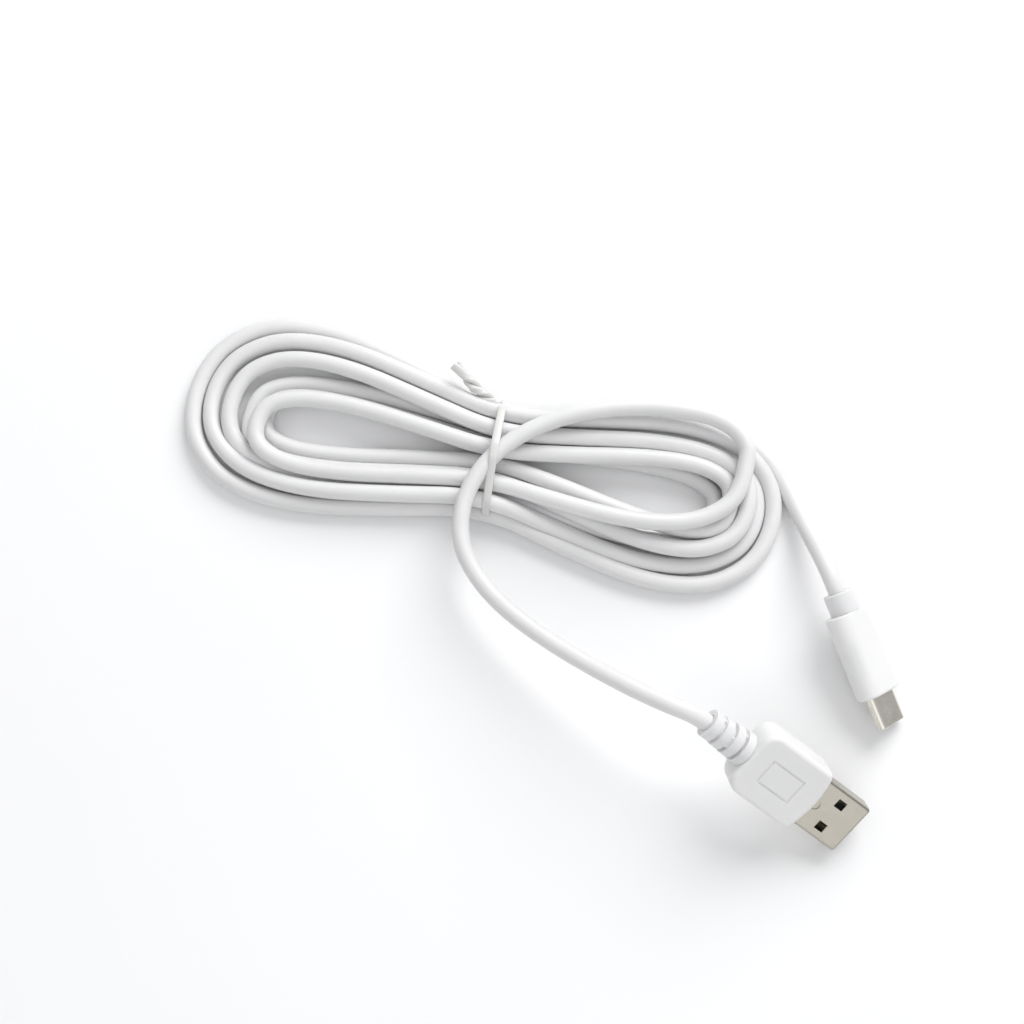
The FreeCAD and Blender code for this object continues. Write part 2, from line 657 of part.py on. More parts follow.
def build_usb_c():
    place = pose(USB_C_POSE)
    usb_c_shell(place)
    usb_c_housing(place)
    contact_beams("usb_c_contacts_upper", (2.75, 1.25, 0.75, 0.25, -0.25, -1.25, -2.75), True, place)
    contact_beams("usb_c_contacts_lower", (2.75, 1.25, -0.75, -1.25, -2.75), False, place)
    side_latch("usb_c_latch_left", 1, place)
    side_latch("usb_c_latch_right", -1, place)
    emi_springs(place)
    board = paddle_board(place)
    seat = dim("boardThickness") / 2
    resistor = box("1.0", "0.5", "0.35", -7.4, -2.4, seat)
    finished(resistor, "usb_c_pullup_resistor", place)
    can_front = -dim("ovalBuried") - 0.02
    rear_can("usb_c_rear_can", "ovalCanWidth", "ovalCanHeight", "ovalCanLength", can_front, place)
    start_x, joint_x = -15.0, -9.6
    lift = seat + dim("leadDiameter") / 2 + 0.05
    leads = [
        lead("usb_c_lead_red", (start_x, 0.7, 0.7), (joint_x, 1.9, lift), place, -12.1),
        lead("usb_c_lead_green", (start_x, -0.7, 0.7), (joint_x, -0.6, lift), place, -12.1),
        lead("usb_c_lead_black", (start_x, -0.7, -0.7), (joint_x, -1.9, -lift), place, -12.1),
        lead("usb_c_lead_white", (start_x, 0.7, -0.7), (joint_x, 0.6, -lift), place, -12.1),
    ]
    spots = [(joint_x, 1.9, seat, 1), (joint_x, -0.6, seat, 1), (joint_x, -1.9, -seat, -1), (joint_x, 0.6, -seat, -1)]
    solder = solder_domes("usb_c_solder_joints", spots, place)
    kept = [board, resistor, solder] + leads
    inner_mould("usb_c_inner_mould", "6.7", "Dims.ovalCanWidth - 0.6", "Dims.ovalCanHeight - 0.6", -12.1, place, kept)
    usb_c_grip(place)
    usb_c_collar(place)
    braid_end("usb_c_braid_foldback", -19.7, start_x, place)


# --- hank and twist tie ------------------------------------------------------------------------


def tangent_point(outside, centre, radius, side):
    """Where the line from an outside point touches a circle, on its upper or lower side."""
    away = outside - centre
    spread = math.acos(radius / away.Length)
    angle = math.atan2(away.y, away.x) + side * spread
    return centre + Vector(math.cos(angle), math.sin(angle), 0) * radius


def teardrop(centre_x, centre_y, radius, top, bottom, low_z, height):
    """A round end with two straight sides that narrow towards the tie, drawn flat and raised."""
    centre = Vector(centre_x, centre_y, 0)
    outward = 1 if centre_x > 0 else -1
    upper, lower = Vector(0, top, 0), Vector(0, bottom, 0)
    upper_touch = tangent_point(upper, centre, radius, -outward)
    lower_touch = tangent_point(lower, centre, radius, outward)
    far = centre + Vector(outward * radius, 0, 0)
    sketch = doc.addObject("Sketcher::SketchObject", "Outline")
    sketch.Placement.Base = Vector(0, 0, low_z)
    sketch.addGeometry(Part.LineSegment(upper, upper_touch))
    sketch.addGeometry(Part.Arc(upper_touch, far, lower_touch))
    sketch.addGeometry(Part.LineSegment(lower_touch, lower))
    if (upper - lower).Length > 1e-6:
        sketch.addGeometry(Part.LineSegment(lower, upper))
    raised = doc.addObject("Part::Extrusion", "Lobe")
    raised.Base = sketch
    raised.DirMode = "Custom"
    raised.Dir = Vector(0, 0, 1)
    raised.Solid = True
    bind(raised, LengthFwd=height)
    return raised


def hank_place(extra=0.0):
    spin = FreeCAD.Rotation(Vector(0, 0, 1), dim("hankTilt") + extra)
    return FreeCAD.Placement(Vector(dim("hankX"), dim("hankY"), 0), spin)


def cord_hank():
    """The outer shape of the wound turns: two flat loops, open inside, and the tied waist."""
    top, bottom = dim("waistTop"), dim("waistBottom")
    left = teardrop(-49.9, -1.2, 22.3, top, bottom, 0, "Dims.leftHeight")
    right = teardrop(44.4, 0.6, 21.0, top, bottom, 0, "Dims.rightHeight")
    left_open = teardrop(-45.5, -1.7, 4.2, 1.2, -0.2, -1, "Dims.waistHeight + 2")
    right_open = teardrop(44.6, 0.0, 3.8, 1.2, -0.2, -1, "Dims.waistHeight + 2")
    waist_size = "Dims.waistTop - Dims.waistBottom"
    middle = (top + bottom) / 2
    under = box("12", "60", "Dims.tieThickness", -6, middle, 0)
    groove = box("Dims.tieWidth + 0.1", "60", "Dims.waistHeight + 1", -dim("tieWidth") / 2 - 0.05, middle, 0)
    waist = box("12", waist_size, "Dims.waistHeight - Dims.tieThickness", -6, middle, dim("tieThickness"))
    turn = FreeCAD.Placement(Vector(), FreeCAD.Rotation(Vector(0, 0, 1), dim("tieTurn")))
    for block in (under, groove, waist):
        block.Placement = turn.multiply(block.Placement)
    solid = fuse(cut(fuse(left, right), left_open, right_open, under, groove), waist)
    return finished(solid, "cord_hank", hank_place())


def tie_band():
    """The strip's closed loop round the waist, a rounded rectangle with a rounded hole."""
    body = new_body("Band")
    across = (dim("waistTop") + dim("waistBottom")) / 2
    up = (dim("waistHeight") + dim("tieThickness")) / 2
    wide = "Dims.waistTop - Dims.waistBottom + 0.04"
    tall = "Dims.waistHeight - Dims.tieThickness + 0.04"
    outline = new_sketch(body, "YZ_Plane", -dim("tieWidth") / 2, across, up)
    draw_rectangle(outline, wide + " + 2 * Dims.tieThickness", tall + " + 2 * Dims.tieThickness - 0.04")
    block = pad(body, outline, "Dims.tieWidth")
    round_edges(body, block, lambda m, t: abs(t.x) > 0.9, "1.2")
    hole = new_sketch(body, "YZ_Plane", -dim("tieWidth") / 2, across, up)
    draw_rectangle(hole, wide, tall)
    pocket(body, hole)
    return body


def tie_core():
    """The steel wire inside the strip, a round-cornered ring that stops short of closing."""
    inset = dim("tieThickness") / 2
    low_y, high_y = dim("waistBottom") - inset, dim("waistTop") + inset
    low_z, high_z = dim("tieThickness") / 2, dim("waistHeight") + inset
    route = [(0, high_y, high_z - 3), (0, high_y, low_z), (0, low_y, low_z), (0, low_y, high_z), (0, high_y - 2, high_z)]
    edges = []
    bend = 1.0
    start = Vector(*route[0])
    for before, here, after in zip(route, route[1:], route[2:]):
        before, here, after = Vector(*before), Vector(*here), Vector(*after)
        back, ahead = (before - here).normalize(), (after - here).normalize()
        middle = here + (back + ahead) * bend - (back + ahead).normalize() * bend
        edges.append(Part.LineSegment(start, here + back * bend).toShape())
        edges.append(Part.Arc(here + back * bend, middle, here + ahead * bend).toShape())
        start = here + ahead * bend
    edges.append(Part.LineSegment(start, Vector(*route[-1])).toShape())
    first = Vector(*route[0])
    section = Part.Wire(Part.Circle(first, Vector(0, 0, 1), dim("tieWireDiameter") / 2).toShape())
    core = doc.addObject("Part::Feature", "Core")
    core.Shape = Part.Wire(edges).makePipeShell([section], True, True)
    return core


def twist_tie(place):
    """A plastic strip round the waist with a steel core, its two ends twisted together."""
    core = tie_core()
    band = tie_band()
    tail = doc.addObject("Part::Cylinder", "Tail")
    bind(tail, Radius="Dims.tieTailDiameter / 2", Height="Dims.tieTailLength")
    aim = FreeCAD.Rotation(Vector(0, 0, 1), Vector(-0.94, 0.3, 0.12))
    tail.Placement = FreeCAD.Placement(Vector(-0.3, dim("waistTop") + 1.7, 7.1), aim)
    finished(core, "twist_tie_wire", place)
    tail.Placement = place.multiply(tail.Placement)
    band.Placement = place.multiply(band.Placement)
    finished(cut(fuse(band, tail), core), "twist_tie_strip")


# --- build, check, export ----------------------------------------------------------------------


build_usb_a()
build_usb_c()
cord_hank()
twist_tie(hank_place(dim("tieTurn")))
finished(tube("cord_tail_usb_a", USB_A_TAIL, dim("cordDiameter")), "cord_tail_usb_a")
finished(tube("cord_tail_usb_c", USB_C_TAIL, dim("cordDiameter")), "cord_tail_usb_c")
doc.recompute()

for obj in doc.Objects:
    if "Invalid" in obj.State or "Error" in obj.State:
        raise ValueError(f"{obj.Label} failed: {obj.State}")
for node in nodes:
    if node.Shape.isNull() or not node.Shape.isValid() or not node.Shape.Solids:
        raise ValueError(f"{node.Label} has no sound solid")

os.makedirs("parts", exist_ok=True)
for node in nodes:
    node.Shape.exportStep(f"parts/{node.Label}.step")
whole = Part.makeCompound([node.Shape for node in nodes]).BoundBox
print(f"{len(nodes)} parts, X {whole.XMin:.2f} {whole.XMax:.2f}, Y {whole.YMin:.2f} {whole.YMax:.2f}, "
      f"Z {whole.ZMin:.2f} {whole.ZMax:.2f}")
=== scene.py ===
import json
import math
import bpy
from mathutils import Euler, Matrix, Vector


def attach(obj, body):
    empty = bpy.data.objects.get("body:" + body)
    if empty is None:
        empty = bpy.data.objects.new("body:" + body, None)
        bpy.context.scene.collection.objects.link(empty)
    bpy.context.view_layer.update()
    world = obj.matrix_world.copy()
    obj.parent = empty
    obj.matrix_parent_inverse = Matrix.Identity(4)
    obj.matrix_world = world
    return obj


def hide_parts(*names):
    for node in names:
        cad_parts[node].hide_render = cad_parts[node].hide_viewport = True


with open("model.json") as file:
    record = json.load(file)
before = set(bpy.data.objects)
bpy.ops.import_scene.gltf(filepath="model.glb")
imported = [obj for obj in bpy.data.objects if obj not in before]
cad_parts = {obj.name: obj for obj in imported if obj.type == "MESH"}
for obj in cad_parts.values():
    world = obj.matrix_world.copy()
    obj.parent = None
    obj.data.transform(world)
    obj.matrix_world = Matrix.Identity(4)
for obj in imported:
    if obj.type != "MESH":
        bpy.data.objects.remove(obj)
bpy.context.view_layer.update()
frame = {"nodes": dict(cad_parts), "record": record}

nodes = frame["nodes"]
mm = 0.001
scene = bpy.context.scene

# where each plug lies: front face of the grip, then heading, nose-down pitch and roll
plugPose = {
    "usbA": {"place": (56.9, -48.1, 8.45), "turn": (-33.0, 22.0, 24.0)},
    "usbC": {"place": (73.8, -26.1, 4.5), "turn": (-68.0, 10.0, -34.0)},
}


def plugMatrix(name):
    pose = plugPose[name]
    heading, pitch, roll = (math.radians(a) for a in pose["turn"])
    turn = Matrix.Rotation(heading, 4, "Z") @ Matrix.Rotation(pitch, 4, "Y")
    turn = turn @ Matrix.Rotation(roll, 4, "X")
    return Matrix.Translation(Vector(pose["place"]) * mm) @ turn


# camera

camera = {
    "target": (-5.1, 15.3, 0.0),
    "elevation": 76.0,
    "distance": 337.0,
    "lens": 52.73,
    "sensor": 36.0,
}


def makeCamera():
    data = bpy.data.cameras.new("camera")
    data.lens = camera["lens"]
    data.sensor_width = camera["sensor"]
    data.clip_start = 0.01
    obj = bpy.data.objects.new("camera", data)
    scene.collection.objects.link(obj)
    e = math.radians(camera["elevation"])
    back = Vector((0, -math.cos(e), math.sin(e)))
    obj.location = (Vector(camera["target"]) + back * camera["distance"]) * mm
    obj.rotation_euler = Euler((math.radians(90) - e, 0, 0))
    scene.camera = obj


makeCamera()
scene.view_settings.view_transform = "Standard"  # whites stay white
print("camera ready")

# the whole cord, as one line from the USB-C collar through the hank to the USB-A strain relief

cable = {"diameter": 3.8, "length": 1.75, "steps": 7, "roundness": 6, "exit": (-19.7, 0, 0)}
usbCTail = [
    (66.5, -8.1, 7.9),
    (64.2, -2.4, 9.0),
    (62.4, 3.3, 7.5),
    (60.5, 9.0, 4.9),
    (58.6, 14.6, 2.9),
    (56.4, 20.2, 2.0),
    (53.3, 25.9, 1.9),
    (48.5, 30.7, 1.9),
    (41.5, 34.2, 1.9),
    (32.9, 36.5, 1.9),
    (23.4, 37.9, 2.1),
    (13.9, 38.3, 2.4),
    (3.9, 37.7, 2.7),
]
# from the end of the last turn, over the tie and out to the plug
usbATail = [
    (46.9, 28.0, 9.2),
    (44.6, 31.9, 9.2),
    (39.9, 34.7, 9.2),
    (33.2, 36.2, 9.3),
    (25.5, 36.9, 9.5),
    (17.0, 36.6, 9.8),
    (8.6, 35.2, 10.0),
    (1.9, 32.9, 10.1),
    (-3.7, 30.1, 10.2),
    (-8.9, 26.1, 10.2),
    (-12.9, 21.3, 10.2),
    (-15.5, 15.9, 10.1),
    (-16.5, 10.3, 10.1),
    (-15.9, 4.7, 10.1),
    (-13.3, -0.7, 10.3),
    (-9.3, -6.0, 10.9),
    (-3.3, -11.6, 12.0),
    (4.7, -17.5, 14.0),
    (13.5, -23.1, 16.5),
    (21.0, -27.4, 18.9),
    (27.0, -30.3, 20.2),
    (33.2, -32.7, 19.85),
    (38.6, -36.2, 17.25),
]
hank = {
    "centre": (-8.9, 27.0),
    "tilt": -14.0,
    "flare": 41.0,
    "flarePower": 1.3,
    # control points round a lobe, closer together at its end
    "degrees": (0, 18, 36, 54, 70, 83, 97, 110, 126, 144, 162),
    "leaveAt": 100,  # the last half turn ends here and becomes the USB-A tail
    "rise": 0.3,
    # how round each half turn is at its end: 1 is pointed, lower is blunter
    "leftBlunt": (1.0, 1.0, 0.72, 0.9, 0.7, 0.8),
    "rightBlunt": (1.0, 1.0, 0.9, 0.8, 0.7, 0.95),
    # where each strand passes under the tie: across the hank, and height
    "far": [(10.3, 2.8), (8.8, 6.2), (6.8, 2.8), (4.9, 6.3), (2.8, 2.8), (0.8, 6.2), (1.5, 10.1)],
    "near": [(-11.6, 2.8), (-9.8, 6.2), (-4.3, 2.8), (-8.0, 2.8), (-0.7, 2.8), (-6.0, 6.2)],
    # each half turn: reach, how far across its end, far side and near side lie, and the
    # heights of its far side, end and near side
    "left": [
        (70.3, -0.8, 20.8, -21.6, 1.9, 1.9, 1.9),
        (66.3, -0.4, 17.2, -17.9, 4.3, 2.0, 4.9),
        (56.6, -3.0, 8.4, -11.4, 1.9, 1.9, 1.9),
        (61.5, -1.6, 12.4, -15.0, 5.5, 3.4, 1.9),
        (53.3, -2.3, 4.9, -7.8, 1.9, 1.9, 1.9),
        (53.9, -5.6, 3.6, -12.8, 5.6, 5.8, 5.7),
    ],
    "right": [
        (63.9, 0.8, 17.5, -19.2, 5.2, 1.9, 1.9),
        (60.0, 0.8, 15.8, -15.2, 1.9, 1.9, 1.9),
        (57.6, 1.8, 12.3, -11.6, 5.6, 5.6, 5.6),
        (51.0, 0.2, 7.2, -10.4, 1.9, 1.9, 1.9),
        (53.6, 1.0, 8.2, -6.4, 5.6, 5.6, 5.6),
        (54.9, 7.5, 20.3, -8.0, 9.2, 9.2, 9.2),
    ],
}


def hankToFrame(along, across, height):
    a = math.radians(hank["tilt"])
    x, y = hank["centre"]
    c, s = math.cos(a), math.sin(a)
    return (x + along * c - across * s, y + along * s + across * c, height)


def lobePoint(side, loop, blunt, far, near, degrees):
    # 0 is the far pass under the tie, 90 the end of the lobe, 180 the near pass
    reach, endAcross, farSide, nearSide, farHeight, endHeight, nearHeight = loop
    firstHalf = degrees <= 90
    widest, level = (farSide, farHeight) if firstHalf else (nearSide, nearHeight)
    tieAcross, tieHeight = far if firstHalf else near
    a = math.radians(degrees)
    flare = math.radians(hank["flare"])
    reached = (widest - endAcross) / math.cos(flare) ** blunt
    spread = (reached - (tieAcross - endAcross)) / math.sin(flare) ** hank["flarePower"]
    bulge = (tieAcross - endAcross) + spread * math.sin(a) ** hank["flarePower"]
    across = endAcross + abs(math.cos(a)) ** blunt * bulge
    step = min(degrees, 180 - degrees) / 90
    rise = hank["rise"]
    if step < rise:
        start, end, k = tieHeight, level, step / rise
    else:
        start, end, k = level, endHeight, (step - rise) / (1 - rise)
    height = start + (end - start) * (1 - math.cos(math.pi * k)) / 2
    return hankToFrame(side * reach * math.sin(a), across, height)


def hankTurns():
    points = []
    far, near = hank["far"], hank["near"]
    last = len(hank["left"]) - 1
    for k in range(last + 1):
        loop, blunt = hank["left"][k], hank["leftBlunt"][k]
        for degrees in hank["degrees"]:
            points.append(lobePoint(-1, loop, blunt, far[k], near[k], degrees))
        loop, blunt = hank["right"][k], hank["rightBlunt"][k]
        for degrees in hank["degrees"]:
            if k < last or degrees < hank["leaveAt"]:
                points.append(lobePoint(1, loop, blunt, far[k + 1], near[k], 180 - degrees))
    return points


def makeCord():
    points = usbCTail + hankTurns() + usbATail
    data = bpy.data.curves.new("cord", "CURVE")
    data.dimensions = "3D"
    line = data.splines.new("NURBS")
    line.points.add(len(points) - 1)
    for p, q in zip(line.points, points):
        p.co = (q[0] * mm, q[1] * mm, q[2] * mm, 1)
    line.order_u = 3
    line.use_endpoint_u = True
    line.resolution_u = cable["steps"]
    data.bevel_depth = cable["diameter"] / 2 * mm
    data.bevel_resolution = cable["roundness"]
    data.use_fill_caps = True
    obj = bpy.data.objects.new("cord", data)
    scene.collection.objects.link(obj)
    return obj


cord = makeCord()
print("cord laid,", len(cord.data.splines[0].points), "points")


# materials: small helpers first, then one function for each finish

def newMaterial(name, color, roughness, metallic=0.0):
    material = bpy.data.materials.new(name)
    material.use_nodes = True
    shader = material.node_tree.nodes["Principled BSDF"]
    shader.inputs["Base Color"].default_value = (*color, 1)
    shader.inputs["Roughness"].default_value = roughness
    shader.inputs["Metallic"].default_value = metallic
    return material, shader


def addNode(material, kind, **values):
    node = material.node_tree.nodes.new(kind)
    for name, value in values.items():
        if hasattr(node, name):
            setattr(node, name, value)
        else:
            node.inputs[name.replace("_", " ")].default_value = value
    return node


def objectCoords(material, scale=(1, 1, 1), turn=(0, 0, 0)):
    # a place on the piece in metres, so a scale of 1000 repeats every millimetre
    coords = addNode(material, "ShaderNodeTexCoord")
    mapping = addNode(material, "ShaderNodeMapping")
    mapping.inputs["Scale"].default_value = scale
    mapping.inputs["Rotation"].default_value = turn
    material.node_tree.links.new(coords.outputs["Object"], mapping.inputs["Vector"])
    return mapping.outputs["Vector"]


def noiseOn(material, vector, scale, detail=3.0, rough=0.5):
    noise = addNode(material, "ShaderNodeTexNoise", Scale=scale, Detail=detail, Roughness=rough)
    material.node_tree.links.new(vector, noise.inputs["Vector"])
    return noise.outputs["Fac"]


def rangeOf(material, value, low, high, fromLow=0.3, fromHigh=0.7):
    node = addNode(material, "ShaderNodeMapRange")
    node.inputs["From Min"].default_value = fromLow
    node.inputs["From Max"].default_value = fromHigh
    node.inputs["To Min"].default_value = low
    node.inputs["To Max"].default_value = high
    material.node_tree.links.new(value, node.inputs["Value"])
    return node.outputs["Result"]


def mixColors(material, value, first, second, low=0.3, high=0.7):
    ramp = addNode(material, "ShaderNodeValToRGB")
    ramp.color_ramp.elements[0].position = low
    ramp.color_ramp.elements[1].position = high
    ramp.color_ramp.elements[0].color = (*first, 1)
    ramp.color_ramp.elements[1].color = (*second, 1)
    material.node_tree.links.new(value, ramp.inputs["Fac"])
    return ramp.outputs["Color"]


def bumpFrom(material, value, strength, distance, under=None):
    bump = addNode(material, "ShaderNodeBump", Strength=strength, Distance=distance)
    material.node_tree.links.new(value, bump.inputs["Height"])
    if under is not None:
        material.node_tree.links.new(under, bump.inputs["Normal"])
    return bump.outputs["Normal"]


def wire(material, shader, **sources):
    for name, source in sources.items():
        material.node_tree.links.new(source, shader.inputs[name.replace("_", " ")])


softBody = {"weight": 0.4, "radius": (0.9, 0.85, 0.8), "scale": 0.0012}


def softWhite(name, light, dark, roughness, grain, grainDepth):
    # white elastomer: faint clouding, handling marks in the gloss, fine moulded grain
    material, shader = newMaterial(name, light, roughness)
    place = objectCoords(material)
    clouds = noiseOn(material, place, 55, 3, 0.55)
    rubbed = noiseOn(material, place, 260, 4, 0.6)
    fine = noiseOn(material, place, grain, 2, 0.5)
    color = mixColors(material, clouds, dark, light, 0.32, 0.62)
    gloss = rangeOf(material, rubbed, roughness - 0.07, roughness + 0.09)
    soft = bumpFrom(material, rubbed, 0.12, 0.00012)
    normal = bumpFrom(material, fine, 0.25, grainDepth, soft)
    wire(material, shader, Base_Color=color, Roughness=gloss, Normal=normal)
    shader.inputs["Subsurface Weight"].default_value = softBody["weight"]
    shader.inputs["Subsurface Radius"].default_value = softBody["radius"]
    shader.inputs["Subsurface Scale"].default_value = softBody["scale"]
    return material


def jacketWhite():
    light, dark = (0.73, 0.728, 0.73), (0.70, 0.698, 0.70)
    return softWhite("jacket_white", light, dark, 0.42, 2600, 0.00003)


# the same white plastic as the jacket, set brighter because the large grip's top face is tilted
# away from the key light: painted light
def gripWhitePaintedLight():
    light, dark = (0.785, 0.785, 0.78), (0.76, 0.76, 0.757)
    return softWhite("grip_white_painted_light", light, dark, 0.42, 4200, 0.00003)


def reliefWhite():
    light, dark = (0.74, 0.74, 0.745), (0.705, 0.705, 0.71)
    return softWhite("relief_white", light, dark, 0.46, 3400, 0.00003)


def tieWhite():
    light, dark = (0.67, 0.667, 0.655), (0.63, 0.627, 0.615)
    return softWhite("tie_white", light, dark, 0.3, 3000, 0.00002)


def brushedMetal(name, light, dark, roughness, turn, streak=(60, 2400, 2400), depth=0.000002):
    # plated sheet: long drawing marks, small rubs, and a slight colour drift
    material, shader = newMaterial(name, light, roughness, 1.0)
    streaks = noiseOn(material, objectCoords(material, streak, turn), 1.0, 4, 0.6)
    place = objectCoords(material)
    rubs = noiseOn(material, place, 420, 5, 0.65)
    drift = noiseOn(material, place, 90, 2, 0.5)
    color = mixColors(material, drift, dark, light)
    gloss = rangeOf(material, rubs, roughness - 0.03, roughness + 0.05)
    lines = bumpFrom(material, streaks, 0.18, depth)
    normal = bumpFrom(material, rubs, 0.02, depth, lines)
    wire(material, shader, Base_Color=color, Roughness=gloss, Normal=normal)
    return material


def plugTurn(name):
    # the mapping turns back by the plug's own attitude so that marks run along it
    turn = plugMatrix(name).to_3x3().inverted().to_euler("XYZ")
    return (turn.x, turn.y, turn.z)


def blackInsulator(name, turn):
    material, shader = newMaterial(name, (0.012, 0.012, 0.013), 0.5)
    place = objectCoords(material)
    flow = noiseOn(material, place, 700, 4, 0.6)
    fibres = noiseOn(material, objectCoords(material, (300, 2600, 2600), turn), 1.0, 3, 0.6)
    color = mixColors(material, flow, (0.009, 0.009, 0.010), (0.022, 0.022, 0.024))
    gloss = rangeOf(material, flow, 0.4, 0.6)
    normal = bumpFrom(material, fibres, 0.2, 0.00001)
    wire(material, shader, Base_Color=color, Roughness=gloss, Normal=normal)
    return material


# the same nickel-plated steel as the small shell, set darker because the key light falls hard on
# the large shell's top: painted shade
def largeShellSteelPaintedShade(turn):
    return brushedMetal("plug_steel", (0.47, 0.443, 0.388), (0.45, 0.423, 0.37), 0.27, turn)


# the same nickel-plated steel as the large shell, set brighter because the small shell's flat
# face reflects a dim room: painted light
def smallShellSteelPaintedLight(turn):
    light, dark = (0.82, 0.785, 0.715), (0.79, 0.755, 0.685)
    return brushedMetal("small_plug_steel_painted_light", light, dark, 0.24, turn)


def springSteel(turn):
    return brushedMetal("spring_steel", (0.66, 0.66, 0.67), (0.55, 0.55, 0.56), 0.28, turn)


def canSteel(turn):
    light, dark = (0.58, 0.58, 0.59), (0.46, 0.46, 0.47)
    return brushedMetal("can_steel", light, dark, 0.4, turn, depth=0.000006)


def tieSteel(turn):
    return brushedMetal("tie_steel", (0.5, 0.5, 0.51), (0.38, 0.38, 0.39), 0.35, turn)


def goldPlate(turn):
    return brushedMetal("gold_plate", (0.70, 0.62, 0.46), (0.60, 0.52, 0.37), 0.26, turn)


def leadInsulation(name, light, dark):
    material, shader = newMaterial(name, light, 0.38)
    place = objectCoords(material)
    streaks = noiseOn(material, place, 900, 3, 0.55)
    color = mixColors(material, streaks, dark, light)
    gloss = rangeOf(material, streaks, 0.3, 0.46)
    normal = bumpFrom(material, noiseOn(material, place, 3200, 2), 0.15, 0.00001)
    wire(material, shader, Base_Color=color, Roughness=gloss, Normal=normal)
    return material


def solderTin():
    material, shader = newMaterial("solder_tin", (0.72, 0.72, 0.73), 0.3, 1.0)
    place = objectCoords(material)
    lumpsAndDipShade = noiseOn(material, place, 1400, 3, 0.6)
    # the colour follows the bump height, darker in the dips between lumps: painted shade
    color = mixColors(material, lumpsAndDipShade, (0.55, 0.55, 0.57), (0.78, 0.78, 0.79))
    gloss = rangeOf(material, lumpsAndDipShade, 0.22, 0.42)
    normal = bumpFrom(material, lumpsAndDipShade, 0.5, 0.00004)
    wire(material, shader, Base_Color=color, Roughness=gloss, Normal=normal)
    return material


def boardMask():
    # solder mask over a glass weave, with paler tracks
    material, shader = newMaterial("board_mask", (0.015, 0.16, 0.06), 0.35)
    turn = plugTurn("usbC")
    weave = addNode(material, "ShaderNodeTexChecker", Scale=1)
    place = objectCoords(material, (3000, 3000, 3000), turn)
    material.node_tree.links.new(place, weave.inputs["Vector"])
    tracks = noiseOn(material, objectCoords(material, (120, 1500, 120), turn), 1.0, 1)
    color = mixColors(material, tracks, (0.012, 0.13, 0.05), (0.03, 0.24, 0.09), 0.48, 0.56)
    normal = bumpFrom(material, weave.outputs["Fac"], 0.1, 0.00001)
    wire(material, shader, Base_Color=color, Normal=normal)
    return material


def chipBody():
    material, shader = newMaterial("chip_body", (0.02, 0.02, 0.022), 0.5)
    place = objectCoords(material)
    grain = noiseOn(material, place, 5200, 3)
    color = mixColors(material, grain, (0.015, 0.015, 0.017), (0.04, 0.04, 0.042))
    wire(material, shader, Base_Color=color, Normal=bumpFrom(material, grain, 0.3, 0.00001))
    return material


def innerMoulding():
    material, shader = newMaterial("inner_moulding", (0.72, 0.70, 0.62), 0.5)
    place = objectCoords(material)
    flow = noiseOn(material, place, 320, 4, 0.6)
    color = mixColors(material, flow, (0.64, 0.61, 0.52), (0.76, 0.74, 0.67))
    gloss = rangeOf(material, flow, 0.42, 0.6)
    normal = bumpFrom(material, noiseOn(material, place, 2400, 3), 0.3, 0.00002)
    wire(material, shader, Base_Color=color, Roughness=gloss, Normal=normal)
    return material


def wovenBraid(turn):
    # two crossing sets of bright strands, darker in the gaps between them where the bump sinks:
    # painted shade
    material, shader = newMaterial("woven_braid", (0.7, 0.66, 0.62), 0.35, 1.0)
    first = addNode(material, "ShaderNodeTexWave", Scale=520, Distortion=0.4)
    second = addNode(material, "ShaderNodeTexWave", Scale=520, Distortion=0.4)
    first.bands_direction = "DIAGONAL"
    second.bands_direction = "DIAGONAL"
    links = material.node_tree.links
    links.new(objectCoords(material, (1, 1, 1), turn), first.inputs["Vector"])
    links.new(objectCoords(material, (-1, 1, 1), turn), second.inputs["Vector"])
    strandsAndGapShade = addNode(material, "ShaderNodeMath", operation="MAXIMUM")
    links.new(first.outputs["Fac"], strandsAndGapShade.inputs[0])
    links.new(second.outputs["Fac"], strandsAndGapShade.inputs[1])
    # the colour follows the bump height, so the gaps between strands are painted shade
    color = mixColors(material, strandsAndGapShade.outputs["Value"], (0.32, 0.28, 0.25), (0.8, 0.77, 0.73))
    normal = bumpFrom(material, strandsAndGapShade.outputs["Value"], 0.6, 0.00008)
    wire(material, shader, Base_Color=color, Normal=normal)
    return material


def makeMaterials():
    usbA, usbC = plugTurn("usbA"), plugTurn("usbC")
    return {
        "cord_jacket": jacketWhite(),
        "grip_plastic": gripWhitePaintedLight(),
        "relief_plastic": reliefWhite(),
        "plug_steel": largeShellSteelPaintedShade(usbA),
        "plug_steel_small": smallShellSteelPaintedLight(usbC),
        "insulator_dark": blackInsulator("black_insulator", usbA),
        "contact_gold": goldPlate(usbA),
        "spring_steel": springSteel(usbC),
        "can_steel": canSteel(usbA),
        "braid_metal": wovenBraid(usbA),
        "inner_plastic": innerMoulding(),
        "lead_red": leadInsulation("lead_red", (0.55, 0.02, 0.015), (0.42, 0.012, 0.01)),
        "lead_black": leadInsulation("lead_black", (0.02, 0.02, 0.021), (0.012, 0.012, 0.013)),
        "lead_green": leadInsulation("lead_green", (0.02, 0.30, 0.06), (0.014, 0.22, 0.045)),
        "lead_white": leadInsulation("lead_white", (0.82, 0.82, 0.80), (0.74, 0.74, 0.72)),
        "solder": solderTin(),
        "board_green": boardMask(),
        "chip_black": chipBody(),
        "tie_plastic": tieWhite(),
        "tie_steel": tieSteel(usbA),
    }


materials = makeMaterials()
slotOfNode = {s["node"]: s["material_slot"] for s in frame["record"]["subparts"]}
for name, obj in nodes.items():
    obj.data.materials.clear()
    obj.data.materials.append(materials[slotOfNode[name]])
cord.data.materials.append(materials["cord_jacket"])
print("materials made,", len(materials))


